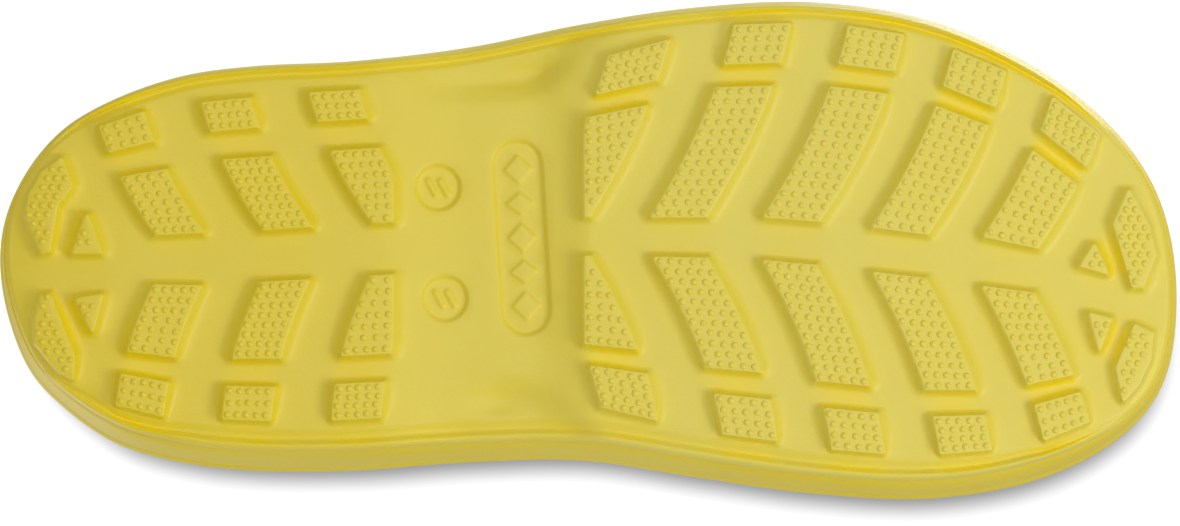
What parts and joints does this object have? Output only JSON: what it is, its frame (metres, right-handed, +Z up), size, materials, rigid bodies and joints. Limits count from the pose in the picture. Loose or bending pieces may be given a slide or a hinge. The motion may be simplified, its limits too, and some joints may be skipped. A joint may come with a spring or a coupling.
{
  "type": "garden clog",
  "caption": "Right-foot moulded foam-rubber garden clog: lugged herringbone tread, stacked midsole, vented closed toe, removable footbed and a swivelling heel strap on two rivets.",
  "frame": {"origin": "on the ground, under the middle of the clog's box", "axes": "+X from heel to toe, +Y towards the inner (big toe) side of a right foot, +Z up from the ground"},
  "size_m": [0.256, 0.108, 0.0985],
  "materials": {
    "outsole": "satin",
    "midsole": "satin",
    "upper": "satin",
    "footbed": "matte",
    "strap": "satin",
    "rivet": "satin",
    "washer": "satin"
  },
  "bodies": {
    "clog": {"outsole": "outsole", "midsole": "midsole", "upper": "upper", "footbed": "footbed", "outer_rivet": "rivet", "outer_rivet_cap": "rivet", "outer_washer": "washer", "inner_rivet": "rivet", "inner_rivet_cap": "rivet", "inner_washer": "washer"},
    "strap": {"heel_strap": "strap"}
  },
  "joints": [
    {"name": "strap_swing", "type": "hinge", "parent": "clog", "child": "strap", "pos_m": [-0.036, 0, 0.058], "axis": [0, 1, 0], "range_deg": [0, 140]}
  ]
}
